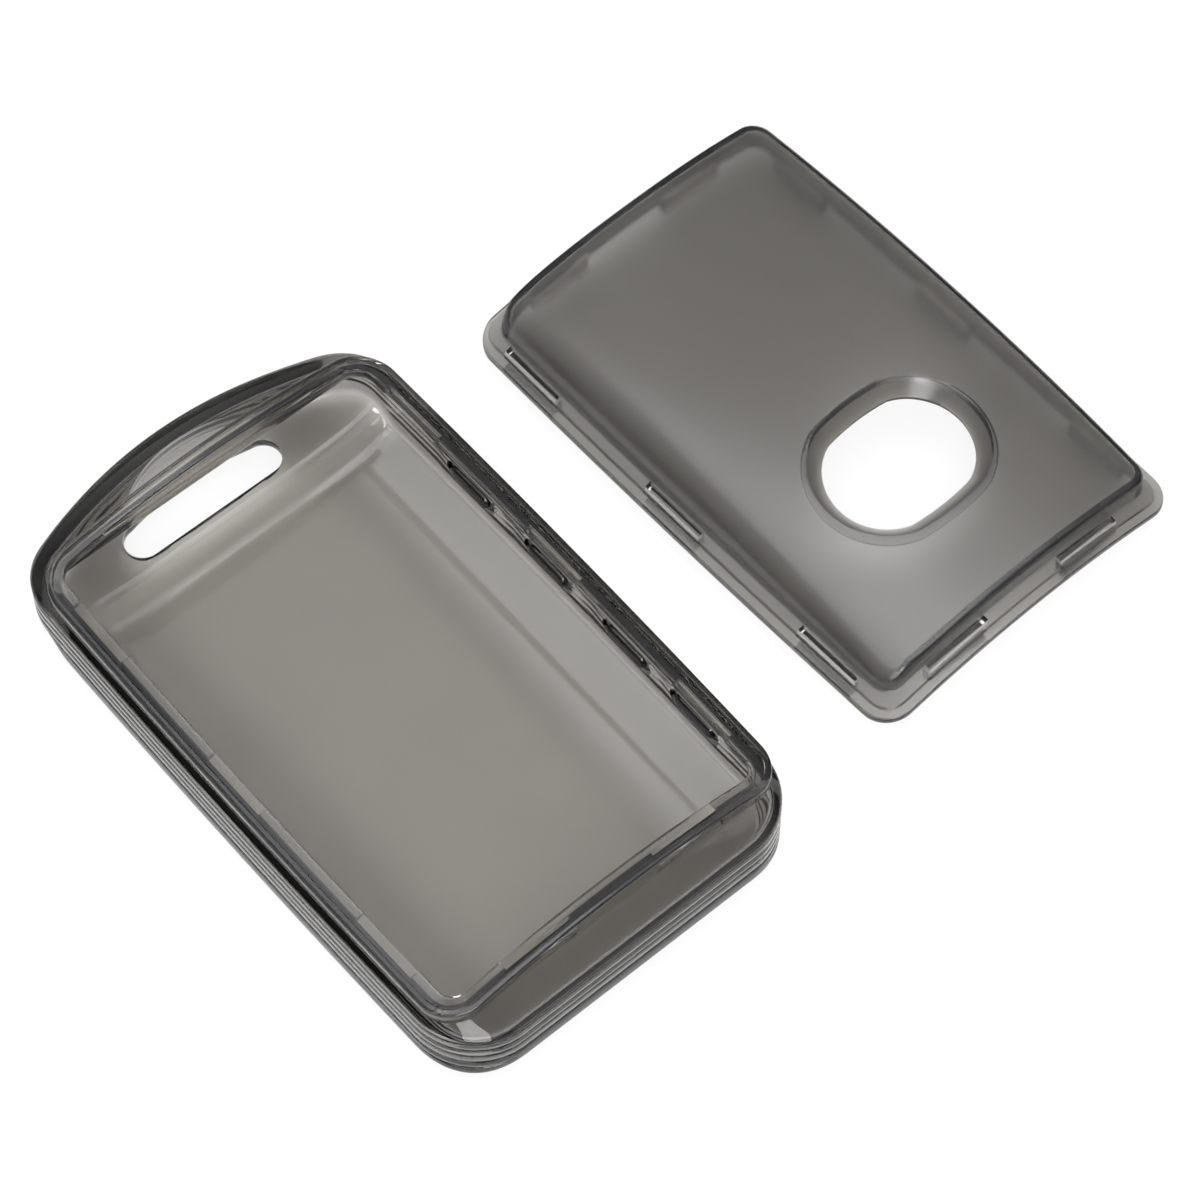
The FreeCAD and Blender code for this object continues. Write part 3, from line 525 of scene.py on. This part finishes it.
knots += [
    (top(hollow) - below, np.maximum(edge_round - inner_less, inner_least), 6),
    (layer(hollow, 0), 0.2, 2),
    (layer(flange, 0), 0.15, 2),
    (layer(flange, flange_thick - step_down), 0.25, 3),
    (layer(strip, flange_thick - step_down), 0, 0),
    (layer(slope, flange_thick), 0.1, 2),
    (layer(foot, flange_thick), 0.2, 3),
    (top(foot), edge_round, 8),
]
knots += [(top(crest * share), 0, 0) for share in cap[::-1]]
lid = skin("lid_shell", eased(knots, most=0.8))

# The oval window: round ends joined by gently bowed long sides, with a sunk bevel and a collar below,
# both given as spreads of the outline and depths below the dome's top.
window_y, window_end, window_side = -16.3, 7.38, 30
join_x, join_y, join_run = 4.6, 6.95, 2.48
round_steps, long_steps = 40, 24


def window(spread):
    """Window outline, spread evenly."""
    sweep = math.degrees(math.asin(join_x / window_side))
    lean = math.degrees(math.acos(join_run / window_end))
    inner = join_x - math.sqrt(window_end ** 2 - join_y ** 2)
    drop = join_y - math.sqrt(window_side ** 2 - join_x ** 2)
    end, side = window_end + spread, window_side + spread
    points = np.concatenate([
        arc((inner, 0), end, -lean, lean, round_steps),
        arc((0, drop), side, 90 - sweep, 90 + sweep, long_steps),
        arc((-inner, 0), end, 180 - lean, 180 + lean, round_steps),
        arc((0, -drop), side, 270 - sweep, 270 + sweep, long_steps),
    ])
    return points + np.array([0, window_y])


def sunk(spread, depth):
    """Window outline at a depth below the dome's top."""
    return top(window(spread)) - np.array([0, 0, depth])


collar = skin("window_collar", [sunk(1.2, 0.9), sunk(2.6, 0.9), sunk(2.3, 1.9), sunk(1.2, 2.2)])
carve(lid, [collar], "UNION")
bevel = [sunk(0, 6), sunk(0, 1.9), sunk(0.12, 1.72), sunk(1.75, 0.1), sunk(1.95, -0.02), sunk(3.4, -0.7)]
cutters = [skin("window_cutter", bevel)]

# Relief slots through the flange, over the hooks.
left_slot, right_slot, side_cut = (-21.95, -21.05), (22.05, 22.95), (12, 16)
far_slot, near_slot, end_cut = (31.25, 31.85), (-37.25, -36.35), (13, 18)
for place in side_places:
    along = (place - catch_half, place + catch_half)
    for reach in (left_slot, right_slot):
        cutters.append(block("slot_cutter", reach, along, side_cut))
for place in end_places:
    along = (place - catch_half, place + catch_half)
    for reach in (far_slot, near_slot):
        cutters.append(block("slot_cutter", along, reach, end_cut))
carve(lid, cutters)

# Snap hooks, each a leg with an outward barb standing under the flange.
hook_half, hook_set, hook_drop = 4.3, 0.45, 2.4
hook_profile = (
    (-0.75, 0.5), (-0.75, -hook_drop), (-0.1, -hook_drop), (0.5, -1.95), (0.5, -1.5), (0, -1.5), (0, 0.5),
)


def hook(place, face, level, turn):
    """Hook at a place along one side of the lid, which the turn points outwards."""
    cosine, sine = math.cos(turn), math.sin(turn)
    rings = []
    for along in (-hook_half, hook_half):
        y = along + place
        spots = []
        for out, rise in hook_profile:
            x = face - hook_set + out
            spots.append((x * cosine - y * sine, x * sine + y * cosine, level + rise))
        rings.append(np.array(spots))
    return skin("hook", rings)


# How far out the hooks' faces stand, and where on the arch their levels are taken.
right_face, left_face, far_face, near_face = 22.5, 21.8, 31.7, 37.3
side_line, end_line, end_raise = 22, 14.8, 0.5
side_level, end_level = crown(side_line, seat_drop), crown(end_line, seat_drop) + end_raise
hooks = [hook(place, right_face, side_level, 0) for place in side_places]
hooks += [hook(-place, left_face, side_level, math.pi) for place in side_places]
hooks += [hook(place, far_face, end_level, math.pi / 2) for place in end_places]
hooks += [hook(place, near_face, end_level, -math.pi / 2) for place in end_places]
carve(lid, hooks, "UNION")

# Laid down on its hooks beside the tray, a little turned.
lid_gap, lid_y, lid_middle, lid_turn = 13.3, -2.6, -2.95, math.radians(1.5)
spots = np.empty(len(lid.data.vertices) * 3)
lid.data.vertices.foreach_get("co", spots)
spots = spots.reshape(-1, 3) * 1000
cosine, sine = math.cos(lid_turn), math.sin(lid_turn)
x = half + lid_gap + flange_half + lid_middle * sine + spots[:, 0] * cosine - spots[:, 1] * sine
y = lid_y - lid_middle * cosine + spots[:, 0] * sine + spots[:, 1] * cosine
z = spots[:, 2] + hook_drop - side_level
lid.data.vertices.foreach_set("co", (np.column_stack([x, y, z]) / 1000).ravel())

# Moulded TPU with a satin skin, which blurs what lies behind it and softens what it mirrors.
lid_plastic = clear_plastic("moulded_TPU_lid", "#F5F1E9", "#EDE9E1", "#C4C4C5",
                            density=1500, roughness=0.21)
finish(lid, lid_plastic, angle=32)
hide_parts("front_lid")
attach(lid, "lid")

# TABLE
# A plain white board, painted matt, under both halves. It looks white to the eye and in reflections,
# keeps the shadow, and glows only faintly through the plastic.

# Sizes and places are in metres from here on.
table_size, table_drop = 4, 0.0002
seen_glow, through_glow = 0.85, 0.1
bpy.ops.object.select_all(action="DESELECT")
bpy.ops.mesh.primitive_plane_add(size=table_size, location=(0, 0, -table_drop))
table = bpy.context.object
table.name = "table"
bpy.ops.object.transform_apply()
white = bpy.data.materials.new("table_white")
white.use_nodes = True
tree = white.node_tree
surface = tree.nodes["Principled BSDF"]
surface.inputs["Base Color"].default_value = linear("#F8F8F8")
surface.inputs["Roughness"].default_value = 0.9
path = node(tree, "ShaderNodeLightPath").outputs
seen = node(tree, "ShaderNodeMath", {"operation": "MAXIMUM"},
            {0: path["Is Camera Ray"], 1: path["Is Glossy Ray"]})
plain = node(tree, "ShaderNodeMath", {"operation": "MULTIPLY", 1: seen_glow}, {0: seen.outputs[0]})
share = node(tree, "ShaderNodeMix", {"data_type": "FLOAT", 3: through_glow},
             {"Factor": path["Is Transmission Ray"], 2: plain.outputs[0]})
glow = node(tree, "ShaderNodeEmission", {"Strength": 1.0})
blend = node(tree, "ShaderNodeMixShader", {},
             {"Fac": share.outputs[0], 1: surface.outputs[0], 2: glow.outputs[0]})
tree.links.new(blend.outputs[0], tree.nodes["Material Output"].inputs["Surface"])
table.data.materials.append(white)

# STUDIO LIGHT
# A pale room that is dark at the horizon and bright overhead, with two soft panels above the object
# and two softboxes in front of it. They draw the dark edges and the broad soft bands in the plastic.

horizon, overhead, room_colour = 0.06, 1.0, "#FCFDFF"

# Each panel's direction, the cosines at which it starts and is full, and its strength.
panels = (((-0.15, 0.05, 0.985), 0.88, 0.93, 2.4), ((0.25, -0.1, 0.96), 0.9, 0.97, 1.5))
world = bpy.data.worlds.new("studio")
bpy.context.scene.world = world
world.use_nodes = True
tree = world.node_tree
way = node(tree, "ShaderNodeTexCoord").outputs["Generated"]
upward = node(tree, "ShaderNodeSeparateXYZ", {}, {"Vector": way})
sky = node(tree, "ShaderNodeMapRange",
           {"From Min": 0.0, "From Max": 1.0, "To Min": horizon, "To Max": overhead},
           {"Value": upward.outputs["Z"]})
level = sky.outputs["Result"]
for middle, start, end, strength in panels:
    aim = node(tree, "ShaderNodeVectorMath", {"operation": "DOT_PRODUCT", 1: middle}, {0: way})
    panel = node(tree, "ShaderNodeMapRange",
                 {"interpolation_type": "SMOOTHSTEP", "From Min": start, "From Max": end, "To Min": 0.0,
                  "To Max": strength}, {"Value": aim.outputs["Value"]})
    total = node(tree, "ShaderNodeMath", {"operation": "ADD"}, {0: level, 1: panel.outputs["Result"]})
    level = total.outputs[0]
background = tree.nodes["Background"]
background.inputs["Color"].default_value = linear(room_colour)
tree.links.new(level, background.inputs["Strength"])


def softbox(name, place, size, watts, aim):
    """Rectangular studio light turned towards a spot on the table."""
    bpy.ops.object.light_add(type="AREA", location=place)
    light = bpy.context.object
    light.name = name
    light.data.shape = "RECTANGLE"
    light.data.size, light.data.size_y = size
    light.data.energy = watts
    light.rotation_euler = (Vector(aim) - Vector(place)).to_track_quat("-Z", "Y").to_euler()


softbox("softbox_front", (-0.36, -0.48, 0.34), (0.32, 0.55), 3.3, (0, -0.03, 0))
softbox("softbox_corner", (-0.19, -0.33, 0.50), (0.10, 0.16), 0.5, (-0.02, -0.04, 0))

# CAMERA
# The photograph's view, from the near left and well above, worked out from the outlines of both halves.

azimuth, lift, distance = math.radians(40.26), math.radians(59.78), 0.52065
target = Vector((0.02765, -0.00389, 0))
ahead = Vector((math.sin(azimuth) * math.cos(lift), math.cos(azimuth) * math.cos(lift), -math.sin(lift)))
camera = bpy.data.cameras.new("photo_view")
camera.lens = 135.38
camera.sensor_width = 36
camera.clip_start = 0.01
viewer = bpy.data.objects.new("photo_view", camera)
bpy.context.scene.collection.objects.link(viewer)
viewer.location = target - ahead * distance
viewer.rotation_euler = ahead.to_track_quat("-Z", "Y").to_euler()
bpy.context.scene.camera = viewer
bpy.context.scene.view_settings.view_transform = "Standard"
